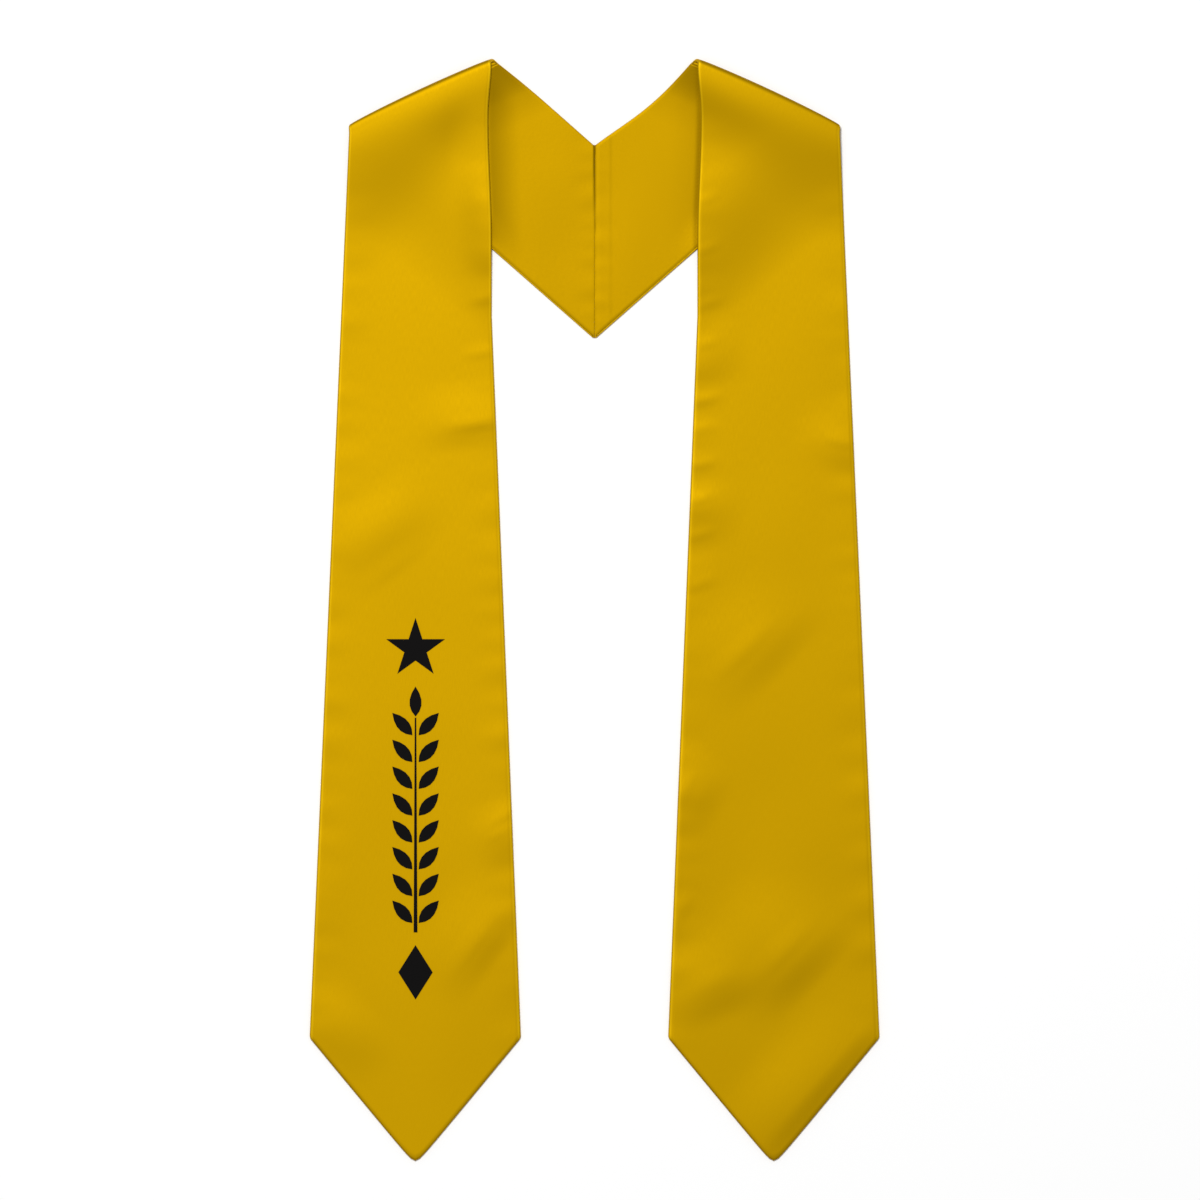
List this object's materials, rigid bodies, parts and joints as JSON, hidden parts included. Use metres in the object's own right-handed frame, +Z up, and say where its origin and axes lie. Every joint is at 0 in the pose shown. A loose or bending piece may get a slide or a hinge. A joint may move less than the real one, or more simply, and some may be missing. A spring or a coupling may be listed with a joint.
{
  "type": "graduation stole",
  "caption": "Golden satin graduation stole laid flat with folded shoulders, a V at the back of the neck, flared pointed ends and a black laurel and star ornament.",
  "frame": {"origin": "middle of the footprint, on the surface that the stole lies on", "axes": "+Z up from the surface, +Y from the pointed ends to the neck, +X to the wearer's left"},
  "size_m": [0.3988, 0.771, 0.01],
  "materials": {
    "satin_face": "smooth golden satin with a soft sheen",
    "satin_lining": "the same satin, a shade deeper",
    "transfer_film": "flat near-black transfer film"
  },
  "bodies": {
    "root": {"right_face": "satin_face", "right_lining": "satin_lining", "left_face": "satin_face", "left_lining": "satin_lining", "ornament_star": "transfer_film", "laurel_stem": "transfer_film", "laurel_tip_leaf": "transfer_film", "ornament_lozenge": "transfer_film", "laurel_leaf_1_inner": "transfer_film", "laurel_leaf_1_outer": "transfer_film", "laurel_leaf_2_inner": "transfer_film", "laurel_leaf_2_outer": "transfer_film", "laurel_leaf_3_inner": "transfer_film", "laurel_leaf_3_outer": "transfer_film", "laurel_leaf_4_inner": "transfer_film", "laurel_leaf_4_outer": "transfer_film", "laurel_leaf_5_inner": "transfer_film", "laurel_leaf_5_outer": "transfer_film", "laurel_leaf_6_inner": "transfer_film", "laurel_leaf_6_outer": "transfer_film", "laurel_leaf_7_inner": "transfer_film", "laurel_leaf_7_outer": "transfer_film", "laurel_leaf_8_inner": "transfer_film", "laurel_leaf_8_outer": "transfer_film"}
  },
  "joints": []
}
